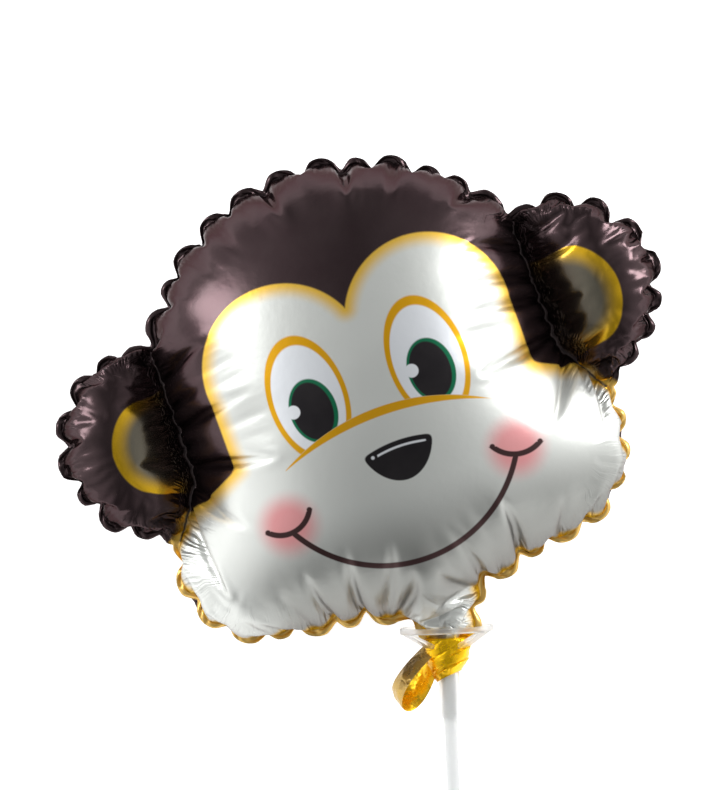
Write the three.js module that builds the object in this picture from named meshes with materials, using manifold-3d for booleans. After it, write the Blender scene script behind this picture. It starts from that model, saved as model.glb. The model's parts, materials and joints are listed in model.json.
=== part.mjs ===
// A foil monkey-head balloon on a cup and stick, lying on its back. Millimetres, +Z up, face up.
// Two foil sheets are welded round the rim and blown up, so each lobe is a pillow that puckers at
// its weld. The ears are lobes of their own, closed off from the head by a welded seam.
// The head frame has X across the face, Y up the face and Z out of it, with its origin at the nose.
// The stick frame has its origin in the middle of the cup's ring and Y up along the stick.
import * as THREE from "three";
import { mergeVertices } from "three/addons/utils/BufferGeometryUtils.js";
import Module from "manifold-3d";

const wasm = await Module();
wasm.setup();

// Head: the weld line of the crown, cheeks and chin
const crownRadius = 95;
const crownHeight = 38;
const crownHalfSpan = THREE.MathUtils.degToRad(62.5);
const waistHalfWidth = 92;
const waistHeight = 14;
const cheekRadius = 41;
const cheekOut = 65;
const cheekDrop = 18;
const cheekFootTurn = THREE.MathUtils.degToRad(18.6);
const chinHalfWidth = 20;
const chinDrop = 67;
const headHalfThickness = 56;
const headBulgeHeight = 25;

// Ears: the weld line of each lobe outside the seam
const earRadius = 40;
const earOut = 97;
const earHeight = 44;
const earFootOut = 104;
const earFootHeight = -1;
const earFootTurn = THREE.MathUtils.degToRad(245);
const earHalfThickness = 20;
const earBulgeOut = 111.4;

// Puckers and the flat welded rim
const puckerPitch = 16;
const puckerInset = 3.2;
const puckerDepth = 0.5;
const puckerSharpness = 5;
const seamPuckerShare = 0.25;
const rimWidth = 7.5;
const rimNotchWidth = 1.6;
const rimThickness = 1.2;

// Neck of the balloon, down to the cup
const headLean = THREE.MathUtils.degToRad(17.5);
const neckFoot = new THREE.Vector2(-6, -79);
const neckHalfWidth = 13;
const neckHalfThickness = 7;
const neckRootDrop = 53.5;
const neckRootHalfWidth = 22;
const neckRootHalfThickness = 21;
const collarOut = -2.4;
const collarHalfWidth = 19;
const collarHalfThickness = 14;

// Cup: a ring and three arms that meet in the socket, two of them towards the front
const ringRadius = 21;
const ringHeight = 2.6;
const cupWall = 1.2;
const coneHeight = 12.5;
const armCount = 3;
const armWidth = 8;
const armTurn = THREE.MathUtils.degToRad(-35);
const windowReach = 4;
const socketWall = 1.5;
const socketLength = 28.5;
const socketLipHeight = 2;
const socketLip = 0.4;

// Stick: a thin tube pushed up into the socket
const stickRadius = 3;
const stickWall = 0.9;
const stickLength = 300;
const stickGrip = 22;
const pushFit = 0.3;

// Tail: the end of the neck, wound round the throat of the cup and left in a loop
const foilClearance = 0.3;
const windingRadius = 10.2;
const windingTop = 4.5;
const windingLength = 20.5;
const windingFootWall = 1.1;
const windingTurns = [[0.22, 0.74], [0.5, 0.88], [0.8, 1], [1, 0.92]];
const loopLength = 35;
const loopGap = 5.4;
const loopWidth = 13;
const loopThickness = 1.4;
const loopRootOut = -4.6;
const loopRootHeight = -9;
const loopRootGapShare = 0.35;
const loopLean = THREE.MathUtils.degToRad(29);
const loopTurn = THREE.MathUtils.degToRad(42);

// Flat spot on the back, where the light thing settles on a table
const flatSpotDepth = 4.2;

// Fineness of the facets
const stepsPerPucker = 4;
const stepsPerSeamPucker = 2;
const roundSteps = 24;
const loopSteps = 18;
const ringShares = [0.4, 0.68, 0.84, 0.94, 1];
const puckerFrom = 0.76;
const profilePower = 2.8;

/** A closed geometry as a solid, with its shared corners merged. */
function toSolid(geometry) {
  geometry.deleteAttribute("normal");
  geometry.deleteAttribute("uv");
  const merged = mergeVertices(geometry, 1e-4);
  return new wasm.Manifold(
    new wasm.Mesh({
      numProp: 3,
      vertProperties: merged.attributes.position.array,
      triVerts: new Uint32Array(merged.index.array),
    }),
  );
}

/** A solid as a geometry for a mesh. */
function toGeometry(solid) {
  const mesh = solid.getMesh();
  const geometry = new THREE.BufferGeometry();
  geometry.setAttribute("position", new THREE.BufferAttribute(mesh.vertProperties, 3));
  geometry.setIndex(new THREE.BufferAttribute(mesh.triVerts, 1));
  geometry.computeVertexNormals();
  return geometry;
}

/** A closed solid from rings of equal length, with a point or a flat fan at each end. */
function ringSolid(rings) {
  const count = rings[0].length;
  const vertices = rings.flat();
  const triangles = [];
  for (let r = 0; r + 1 < rings.length; r++) {
    for (let i = 0; i < count; i++) {
      const a = r * count + i;
      const b = r * count + ((i + 1) % count);
      triangles.push(a, b, a + count, b, b + count, a + count);
    }
  }
  for (const [ring, first, turn] of [[rings[0], 0, 1], [rings.at(-1), (rings.length - 1) * count, 0]]) {
    const middle = ring.reduce((sum, p) => sum.clone().add(p), new THREE.Vector3()).divideScalar(count);
    vertices.push(middle);
    for (let i = 0; i < count; i++) {
      const a = first + i;
      const b = first + ((i + 1) % count);
      triangles.push(...(turn ? [b, a] : [a, b]), vertices.length - 1);
    }
  }
  const geometry = new THREE.BufferGeometry();
  geometry.setFromPoints(vertices);
  geometry.setIndex(triangles);
  return toSolid(geometry);
}

/** The weld line of the head, anticlockwise from the right ear's top. Each stretch says if it is a seam. */
function headStretches() {
  const crown = new THREE.Path().absarc(
    0, crownHeight, crownRadius, Math.PI / 2 - crownHalfSpan, Math.PI / 2 + crownHalfSpan, false);
  const earTop = crown.getPoint(1);
  const side = new THREE.Path([earTop, new THREE.Vector2(-waistHalfWidth, waistHeight)]);
  const cheekStart = Math.atan2(earFootHeight + cheekDrop, cheekOut - earFootOut);
  const cheekTop = new THREE.Vector2(
    -cheekOut + cheekRadius * Math.cos(cheekStart), -cheekDrop + cheekRadius * Math.sin(cheekStart));
  const flare = new THREE.Path([side.getPoint(1), cheekTop]);
  const cheekEnd = 1.5 * Math.PI - cheekFootTurn;
  const cheek = new THREE.Path().absarc(-cheekOut, -cheekDrop, cheekRadius, cheekStart, cheekEnd, false);
  const chin = new THREE.Path([cheek.getPoint(1), new THREE.Vector2(-chinHalfWidth, -chinDrop)]);
  const foot = new THREE.Path([chin.getPoint(1), new THREE.Vector2(0, -chinDrop)]);
  const left = [[side, true], [flare, true], [cheek, false], [chin, false], [foot, true]];
  const half = left.map(([path, seam]) => stretch(path, seam));
  const mirrored = half.map((part) => ({
    ...part, points: part.points.map((p) => new THREE.Vector2(-p.x, p.y)).reverse() })).reverse();
  return [stretch(crown, false), ...half, ...mirrored];
}

/** The weld line of the left ear, anticlockwise from its top: the round rim, then up the seam. */
function earStretches() {
  const start = Math.acos((earOut - crownRadius * Math.sin(crownHalfSpan)) / earRadius);
  const rim = new THREE.Path().absarc(-earOut, earHeight, earRadius, start, earFootTurn, false);
  const foot = new THREE.Path([rim.getPoint(1), new THREE.Vector2(-earFootOut, earFootHeight)]);
  const waist = new THREE.Vector2(-waistHalfWidth, waistHeight);
  const flare = new THREE.Path([foot.getPoint(1), waist]);
  const side = new THREE.Path([waist, rim.getPoint(0)]);
  return [[rim, false], [foot, false], [flare, true], [side, true]].map(([path, seam]) => stretch(path, seam));
}

/** A stretch of weld: evenly spaced points from end to end of a path, a whole number of puckers long. */
function stretch(path, seam) {
  const puckers = Math.max(1, Math.round(path.getLength() / puckerPitch));
  const steps = seam ? stepsPerSeamPucker : stepsPerPucker;
  return { points: path.getSpacedPoints(puckers * steps), steps, seam };
}

/** The weld line as stations: a point, its outward direction and how far it is drawn in, 0 to 1. */
function stations(stretches) {
  const line = stretches.flatMap(({ points, steps, seam }) =>
    points.slice(0, -1).map((point, i) => ({ point, seam, phase: (i % steps) / steps })));
  const count = line.length;
  return line.map(({ point, seam, phase }, i) => {
    const along = line[(i + 1) % count].point.clone().sub(line[(i + count - 1) % count].point);
    const outward = new THREE.Vector2(along.y, -along.x).normalize();
    const drawn = Math.abs(Math.cos(Math.PI * phase)) ** puckerSharpness * (seam ? seamPuckerShare : 1);
    return { point, outward, drawn, seam };
  });
}

/** A lobe of the balloon: a pillow whose rim is drawn in at each pucker. */
function pillow(line, centre, halfThickness) {
  const level = (share, side) =>
    line.map(({ point, outward, drawn }) => {
      const near = THREE.MathUtils.smoothstep(share, puckerFrom, 1);
      const height = Math.sqrt(1 - share ** profilePower) * (1 - puckerDepth * drawn * near);
      const p = centre.clone().lerp(point, share).addScaledVector(outward, -puckerInset * drawn * near);
      return new THREE.Vector3(p.x, p.y, side * halfThickness * height);
    });
  const top = ringShares.map((share) => level(share, 1));
  const bottom = ringShares.slice(0, -1).map((share) => level(share, -1));
  const crown = (side) => line.map(() => new THREE.Vector3(centre.x, centre.y, side * halfThickness));
  return ringSolid([crown(-1), ...bottom, ...top.reverse(), crown(1)]);
}

/** The flat welded rim round a lobe, scalloped between the puckers. */
function rimPlate(line) {
  const edge = line.map(({ point, outward, drawn, seam }) =>
    point.clone().addScaledVector(
      outward, seam ? rimNotchWidth / 2 : THREE.MathUtils.lerp(rimWidth, rimNotchWidth - puckerInset, drawn)));
  const plate = new THREE.ExtrudeGeometry(new THREE.Shape(edge), { depth: rimThickness, bevelEnabled: false });
  plate.translate(0, 0, -rimThickness / 2);
  return toSolid(plate);
}

/** A point of the head frame in the stick frame. */
function fromHead(point) {
  return point.clone().sub(neckFoot).rotateAround(new THREE.Vector2(), headLean);
}

/** The neck: flattened rings from inside the chin down into the cup. */
function neck() {
  const sections = [
    [fromHead(new THREE.Vector2(0, -neckRootDrop)), neckRootHalfWidth, neckRootHalfThickness],
    [fromHead(new THREE.Vector2(collarOut, -chinDrop)), collarHalfWidth, collarHalfThickness],
    [new THREE.Vector2(0, ringHeight), neckHalfWidth, neckHalfThickness],
    [new THREE.Vector2(0, -windingTop), windingRadius, neckHalfThickness],
  ];
  const rings = sections.map(([middle, halfWidth, halfDepth], i) => {
    const before = sections[Math.max(i - 1, 0)][0];
    const after = sections[Math.min(i + 1, sections.length - 1)][0];
    const down = after.clone().sub(before).normalize();
    return Array.from({ length: roundSteps }, (_, k) => {
      const turn = (2 * Math.PI * k) / roundSteps;
      const across = halfWidth * Math.cos(turn);
      return new THREE.Vector3(
        middle.x + across * down.y, middle.y - across * down.x, -halfDepth * Math.sin(turn));
    });
  });
  return ringSolid(rings);
}

/** A turned solid about the stick's own line, from a closed profile of radius and height pairs. */
function turned(profile, steps = roundSteps) {
  const points = profile.map(([radius, height]) => new THREE.Vector2(Math.max(radius, 0), height));
  return toSolid(new THREE.LatheGeometry([...points, points[0]], steps));
}

const socketInner = stickRadius + pushFit;
const socketOuter = socketInner + socketWall;
const socketFoot = -coneHeight - socketLength;

/** The cup, with its walls grown by a margin where the foil has to stay clear of it. */
function cup(grow = 0) {
  const coneFoot = -coneHeight;
  const slope = cupWall * Math.SQRT2;
  const shell = turned([
    [socketInner - grow, socketFoot - grow],
    [socketOuter + socketLip + grow, socketFoot - grow],
    [socketOuter + socketLip + grow, socketFoot + socketLipHeight + grow],
    [socketOuter + grow, socketFoot + socketLipHeight + grow],
    [socketOuter + grow, coneFoot - grow],
    [ringRadius + grow, -ringHeight - grow],
    [ringRadius + grow, grow],
    [ringRadius - cupWall - grow, grow],
    [ringRadius - cupWall - grow, -ringHeight + cupWall / 2 + grow],
    [socketInner - grow, coneFoot + slope + grow],
  ]);
  const windowHeight = coneHeight - ringHeight - cupWall;
  const cutter = turned([
    [socketOuter + cupWall + grow, -coneHeight + cupWall],
    [ringRadius + windowReach, -coneHeight + cupWall],
    [ringRadius + windowReach, -coneHeight + cupWall + windowHeight - grow],
    [socketOuter + cupWall + grow, -coneHeight + cupWall + windowHeight - grow],
  ]);
  const arms = Array.from({ length: armCount }, (_, i) => {
    const bar = new THREE.BoxGeometry(
      ringRadius + windowReach, coneHeight + 2 * windowReach, armWidth + 2 * grow);
    bar.translate((ringRadius + windowReach) / 2, -coneHeight / 2, 0);
    bar.rotateY(armTurn + (2 * Math.PI * i) / armCount);
    return toSolid(bar);
  });
  return shell.subtract(arms.reduce((windows, arm) => windows.subtract(arm), cutter));
}

/** The tube of the stick, its top pushed up into the socket. */
function stick() {
  const top = socketFoot + stickGrip;
  return turned([
    [stickRadius - stickWall, top - stickLength],
    [stickRadius, top - stickLength],
    [stickRadius, top],
    [stickRadius - stickWall, top],
  ]);
}

/** The winding round the throat of the cup, thick above and drawn in below. */
function winding() {
  const foot = -windingTop - windingLength;
  const footRadius = socketOuter + windingFootWall;
  return turned([
    [0, -coneHeight + 2 * cupWall],
    [socketInner, -coneHeight],
    [socketInner, foot],
    [footRadius, foot],
    ...windingTurns.map(([up, out]) => [windingRadius * out, foot + windingLength * up]),
    [0, -windingTop],
  ]);
}

/** The loop of spare tail: a flat band that leaves the winding, turns back and is tucked in again. */
function loop() {
  const down = new THREE.Vector3(-Math.sin(loopLean), -Math.cos(loopLean), 0);
  const side = new THREE.Vector3(-Math.cos(loopLean), Math.sin(loopLean), 0);
  const broad = side.clone().multiplyScalar(Math.cos(loopTurn));
  broad.z = Math.sin(loopTurn);
  const open = new THREE.Vector3().crossVectors(broad, down).normalize();
  const root = new THREE.Vector3(loopRootOut, loopRootHeight, 0);
  const rings = Array.from({ length: loopSteps + 1 }, (_, i) => {
    const turn = (2 * Math.PI * i) / loopSteps;
    const reach = (loopLength * (1 - Math.cos(turn))) / 2;
    const gapShare = THREE.MathUtils.lerp(loopRootGapShare, 1, reach / loopLength);
    const gap = loopGap * Math.sin(turn) * gapShare;
    const middle = root.clone().addScaledVector(down, reach).addScaledVector(open, gap);
    const along = down.clone().multiplyScalar(loopLength * Math.sin(turn))
      .addScaledVector(open, 2 * loopGap * Math.cos(turn)).normalize();
    const thick = new THREE.Vector3().crossVectors(broad, along).normalize();
    return [[1, 1], [1, -1], [-1, -1], [-1, 1]].map(([a, b]) =>
      middle.clone().addScaledVector(broad, (a * loopWidth) / 2).addScaledVector(thick, (b * loopThickness) / 2));
  });
  const halves = [rings.slice(0, loopSteps / 2 + 1), rings.slice(loopSteps / 2)];
  return halves.map((half) => ringSolid(half)).reduce((a, b) => a.add(b));
}

/** Everything made of foil, in the stick frame: one welded envelope with its neck, winding and loop. */
function foil() {
  const head = stations(headStretches());
  const ear = stations(earStretches());
  const headCentre = new THREE.Vector2(0, headBulgeHeight);
  const earCentre = new THREE.Vector2(-earBulgeOut, earHeight);
  const lobe = pillow(ear, earCentre, earHalfThickness).add(rimPlate(ear));
  const mirrored = lobe.mirror([1, 0, 0]);
  const upright = pillow(head, headCentre, headHalfThickness).add(rimPlate(head)).add(lobe).add(mirrored);
  const leaning = upright
    .translate([-neckFoot.x, -neckFoot.y, 0])
    .rotate([0, 0, THREE.MathUtils.radToDeg(headLean)]);
  return leaning.add(neck()).add(winding()).add(loop()).subtract(cup(foilClearance));
}

/** How far the lowest corner of a solid lies below the stick's line, with the whole leaning by an angle. */
function reachBelow(positions, lean) {
  let lowest = -Infinity;
  for (let i = 0; i < positions.length; i += 3) {
    lowest = Math.max(lowest, -(positions[i + 1] * Math.sin(lean) + positions[i + 2] * Math.cos(lean)));
  }
  return lowest;
}

/** The lean at which the balloon's flat spot and the stick's far end touch one table. */
function restingLean(foilPositions, stickPositions) {
  let low = 0;
  let high = Math.PI / 6;
  for (let i = 0; i < 40; i++) {
    const lean = (low + high) / 2;
    const gap = reachBelow(foilPositions, lean) - flatSpotDepth - reachBelow(stickPositions, lean);
    [low, high] = gap > 0 ? [lean, high] : [low, lean];
  }
  return (low + high) / 2;
}

/** A named mesh with its own finish. */
function piece(name, solid, color, roughness, metalness, opacity = 1) {
  const material = new THREE.MeshStandardMaterial({
    color, roughness, metalness, opacity, transparent: opacity < 1 });
  const mesh = new THREE.Mesh(toGeometry(solid), material);
  mesh.name = name;
  return mesh;
}

const wholeFoil = foil();
const stickSolid = stick();
const lean = restingLean(wholeFoil.getMesh().vertProperties, stickSolid.getMesh().vertProperties);
const tableDepth = reachBelow(stickSolid.getMesh().vertProperties, lean);

// The block under the table top, laid in the stick frame, cuts the flat spot
const underTable = new THREE.BoxGeometry(4 * crownRadius, 6 * crownRadius, headHalfThickness);
underTable.translate(0, 0, -headHalfThickness / 2 - tableDepth);
underTable.rotateX(-lean);
const restingFoil = wholeFoil.subtract(toSolid(underTable));

const balloon = new THREE.Group();
balloon.add(piece("foil_balloon", restingFoil, 0x3d2b2e, 0.3, 0.9));
balloon.add(piece("balloon_cup", cup(), 0xf2f4f2, 0.35, 0, 0.6));
balloon.add(piece("stick", stickSolid, 0xf2f4f2, 0.35, 0, 0.6));
balloon.rotation.x = lean;
balloon.updateMatrixWorld(true);

// The origin is on the table, under the middle of the whole thing
const box = new THREE.Box3().setFromObject(balloon, true);
const middle = box.getCenter(new THREE.Vector3());
balloon.position.set(-middle.x, -middle.y, -box.min.z);

const root = new THREE.Group();
root.add(balloon);
export default root;
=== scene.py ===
"""A foil monkey-head balloon on a cup and stick, lying on its back. Metres, +Z up, face up.

The envelope is blown up from its flat pattern: two sheets of film that hardly stretch are welded
round the rim and along a seam at each ear, and the air between them draws the rim into puckers.
The head frame has X across the face, Y up the face and Z out of it, with its origin at the nose.
The stick frame has its origin in the middle of the cup's ring and Y up along the stick.
"""
import json
import logging
import math
from dataclasses import dataclass, field
from typing import Any

import bmesh
import bpy
import numpy as np
from mathutils import Matrix, Vector
from mathutils.geometry import delaunay_2d_cdt


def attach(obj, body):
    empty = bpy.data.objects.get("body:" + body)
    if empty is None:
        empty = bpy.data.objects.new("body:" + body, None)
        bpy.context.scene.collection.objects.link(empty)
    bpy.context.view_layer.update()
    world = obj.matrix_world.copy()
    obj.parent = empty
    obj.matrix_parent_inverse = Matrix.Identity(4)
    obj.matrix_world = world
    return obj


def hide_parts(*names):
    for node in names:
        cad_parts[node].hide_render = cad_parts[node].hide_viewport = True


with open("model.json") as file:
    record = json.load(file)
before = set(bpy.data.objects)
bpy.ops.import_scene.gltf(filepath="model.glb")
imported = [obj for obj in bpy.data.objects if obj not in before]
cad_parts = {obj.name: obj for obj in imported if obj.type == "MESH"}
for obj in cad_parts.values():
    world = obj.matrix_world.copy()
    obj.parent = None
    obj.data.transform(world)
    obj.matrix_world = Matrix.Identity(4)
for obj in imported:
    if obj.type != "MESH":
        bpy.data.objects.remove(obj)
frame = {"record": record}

log = logging.getLogger("balloon")
MM = 0.001
TINY = 1e-9
Array = np.ndarray


def smoothstep(x: Array, low: float, high: float) -> Array:
    """Rise smoothly from 0 at low to 1 at high."""
    t = np.clip((x - low) / (high - low), 0, 1)
    return t * t * (3 - 2 * t)


def new_mesh(name: str, points: Array, faces: Any, smooth: bool = True) -> bpy.types.Object:
    """Make an object from points and faces.

    Args:
        name: The piece's name.
        points: Vertex places, one row each.
        faces: Vertex indices of each face.
        smooth: Whether the faces are shaded smooth.

    Returns:
        The object, linked to the scene.
    """
    mesh = bpy.data.meshes.new(name)
    faces = faces.tolist() if isinstance(faces, np.ndarray) else faces
    mesh.from_pydata(np.asarray(points, float).tolist(), [], faces)
    mesh.validate()
    mesh.polygons.foreach_set("use_smooth", [smooth] * len(mesh.polygons))
    piece = bpy.data.objects.new(name, mesh)
    bpy.context.scene.collection.objects.link(piece)
    return piece


def placed(points: Array, place: Matrix) -> Array:
    """Points of a local frame in the part's frame."""
    matrix = np.array(place)
    return points @ matrix[:3, :3].T + matrix[:3, 3]


def swept(name: str, rings: Array, place: Matrix, capped: bool, smooth: bool = True) -> bpy.types.Object:
    """A piece through rings of points, with all its faces looking outwards.

    Args:
        name: The piece's name.
        rings: The points of each ring in turn, in a local frame.
        place: The local frame.
        capped: Whether the end rings are closed flat; if not, the last one joins the first.
        smooth: Whether the faces are shaded smooth.

    Returns:
        The piece.
    """
    index = np.arange(rings.shape[0] * rings.shape[1]).reshape(rings.shape[:2])
    right = np.roll(index, -1, 1)
    quads = np.stack([index, right, np.roll(right, -1, 0), np.roll(index, -1, 0)], 2)
    faces = quads[:len(quads) - capped].reshape(-1, 4).tolist()
    if capped:
        faces += [index[0][::-1].tolist(), index[-1].tolist()]
    piece = new_mesh(name, placed(rings.reshape(-1, 3), place), faces, smooth)
    work = bmesh.new()
    work.from_mesh(piece.data)
    bmesh.ops.recalc_face_normals(work, faces=work.faces[:])
    work.to_mesh(piece.data)
    work.free()
    return piece


def store(piece: bpy.types.Object, name: str, values: Array) -> None:
    """Keep a number for each point of a piece's mesh."""
    layer = piece.data.attributes.new(name, "FLOAT", "POINT")
    layer.data.foreach_set("value", values.astype(np.float32))


def normal_sums(points: Array, triangles: Array) -> tuple[Array, Array]:
    """The sum of the normals of the triangles at each point, and the sum of their sizes."""
    a, b, c = (points[triangles[:, k]] for k in range(3))
    normal = np.cross(b - a, c - a)

    def gathered(values: Array) -> Array:
        """The sum of the triangles' values at each point."""
        return sum(np.bincount(triangles[:, k], values, len(points)) for k in range(3))

    total = np.stack([gathered(normal[:, axis]) for axis in range(3)], 1)
    return total, gathered(np.linalg.norm(normal, axis=1))


@dataclass(frozen=True)
class Place:
    """Where the stick frame and the head frame lie in the part, read from the stick's own mount."""

    stick_length: float = 300 * MM
    stick_grip: float = 22 * MM
    wall_middle: float = 2.55 * MM
    cone_height: float = 12.5 * MM
    socket_length: float = 28.5 * MM
    head_lean: float = math.radians(17.5)
    neck_foot: tuple[float, float] = (-6 * MM, -79 * MM)

    def stick(self) -> Matrix:
        """The stick frame in the part's frame."""
        mount = next(m for m in frame["record"]["mounts"] if m["name"] == "stick_foot")
        up = -Vector(mount["axis"]).normalized()
        across = Vector((1, 0, 0))
        out = across.cross(up)
        reach = self.stick_length + self.cone_height + self.socket_length - self.stick_grip
        origin = Vector(mount["pos_m"]) - across * self.wall_middle + up * reach
        return Matrix.Translation(origin) @ Matrix((across, up, out)).transposed().to_4x4()

    def head(self) -> Matrix:
        """The head frame in the part's frame."""
        to_foot = Matrix.Translation((-self.neck_foot[0], -self.neck_foot[1], 0))
        return self.stick() @ Matrix.Rotation(self.head_lean, 4, "Z") @ to_foot


@dataclass
class Stretch:
    """A stretch of the weld line in the head frame, as a dense row of points."""

    points: Array

    def sizes(self) -> Array:
        """The distances between neighbouring points."""
        return np.linalg.norm(np.diff(self.points, axis=0), axis=1)

    @staticmethod
    def arc(centre: tuple, radius: float, start: float, end: float) -> "Stretch":
        """A stretch along a circle, angles in degrees."""
        turn = np.radians(np.linspace(start, end, 200))
        ring = np.stack([np.cos(turn), np.sin(turn)], 1)
        return Stretch(np.array(centre) + radius * ring)

    @staticmethod
    def path(corners: list) -> "Stretch":
        """A stretch through corners, each side a straight line."""
        corners = np.array(corners, float)
        steps = np.linspace(0, 1, 60, endpoint=False)[:, None]
        sides = [a + (b - a) * steps for a, b in zip(corners[:-1], corners[1:])]
        return Stretch(np.concatenate([*sides, corners[-1:]]))

    def mirrored(self) -> "Stretch":
        """The same stretch on the other side of the face, still running anticlockwise."""
        return Stretch((self.points * (-1, 1))[::-1])

    def spaced(self, count: int) -> Array:
        """Points at even steps along the stretch, both ends kept."""
        along = np.concatenate([[0], np.cumsum(self.sizes())])
        at = np.linspace(0, along[-1], count + 1)
        return np.stack([np.interp(at, along, self.points[:, k]) for k in (0, 1)], 1)

    def length(self) -> float:
        """The length of the stretch."""
        return float(self.sizes().sum())


@dataclass
class Outline:
    """The weld lines of the head and the ears, blown up, in millimetres of the head frame."""

    crown_radius: float = 98.4
    crown_height: float = 38
    crown_half_span: float = 60.5
    waist_half_width: float = 86.5
    waist_height: float = 22
    cheek_radius: float = 40
    cheek_out: float = 65
    cheek_drop: float = 18
    cheek_foot_turn: float = 18.6
    chin_half_width: float = 20
    chin_drop: float = 67
    throat_left: tuple[float, float] = (-17.5, -77)
    throat_right: tuple[float, float] = (9.5, -77)
    neck_left: tuple[float, float] = (-16, -86)
    neck_right: tuple[float, float] = (3, -88)
    ear_radius: float = 42.4
    ear_out: float = 97
    ear_height: float = 44
    ear_foot_out: float = 104
    ear_foot_height: float = -1
    ear_foot_turn: float = 245
    head_middle: tuple[float, float] = (0, 25)
    ear_middle: tuple[float, float] = (-112.6, 44)
    ear_shift: float = -2.7
    cheek_shift: float = -5.5
    shift_change: tuple[float, float] = (15, -30)
    shift_end: tuple[float, float] = (-76, -66)
    names: tuple[str, ...] = (
        "crown", "side", "flare", "cheek", "chin", "throat", "foot", "right throat", "right chin",
        "right cheek", "right flare", "right side")

    def shifted(self, points: Array) -> Array:
        """Points of the outline moved left of the print, by more at the cheeks, and not at the neck."""
        low = smoothstep(points[:, 1], *self.shift_change)
        shift = self.ear_shift + (self.cheek_shift - self.ear_shift) * low
        return points + np.column_stack([shift * smoothstep(points[:, 1], *self.shift_end), 0 * shift])

    def left_side(self) -> list[Stretch]:
        """The head's weld line from the left ear's top down to the chin."""
        top = math.radians(90 + self.crown_half_span)
        ear_top = (self.crown_radius * math.cos(top),
                   self.crown_height + self.crown_radius * math.sin(top))
        waist = (-self.waist_half_width, self.waist_height)
        rise = self.ear_foot_height + self.cheek_drop
        start = math.degrees(math.atan2(rise, self.cheek_out - self.ear_foot_out))
        cheek = Stretch.arc((-self.cheek_out, -self.cheek_drop), self.cheek_radius, start,
                            270 - self.cheek_foot_turn)
        side = Stretch.path([ear_top, waist])
        flare = Stretch.path([waist, cheek.points[0]])
        chin = Stretch.path([cheek.points[-1], (-self.chin_half_width, -self.chin_drop)])
        return [side, flare, cheek, chin]

    def head(self) -> list[Stretch]:
        """The head's weld line, anticlockwise from the right ear's top, in the order of the names."""
        crown = Stretch.arc((0, self.crown_height), self.crown_radius, 90 - self.crown_half_span,
                            90 + self.crown_half_span)
        left = self.left_side()
        chin = (self.chin_half_width, -self.chin_drop)
        throat_left = Stretch.path([(-chin[0], chin[1]), self.throat_left, self.neck_left])
        foot = Stretch.path([self.neck_left, self.neck_right])
        throat_right = Stretch.path([self.neck_right, self.throat_right, chin])
        right = [stretch.mirrored() for stretch in reversed(left)]
        return [crown, *left, throat_left, foot, throat_right, *right]

    def left_ear(self) -> list[Stretch]:
        """The left ear's weld line outside the seam, anticlockwise: the round rim, then the foot."""
        side, flare = self.left_side()[:2]
        top = side.points[0]
        start = math.degrees(math.atan2(top[1] - self.ear_height, top[0] + self.ear_out))
        rim = Stretch.arc((-self.ear_out, self.ear_height), self.ear_radius, start, self.ear_foot_turn)
        return [rim, Stretch.path([rim.points[-1], flare.points[-1]])]


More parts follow.
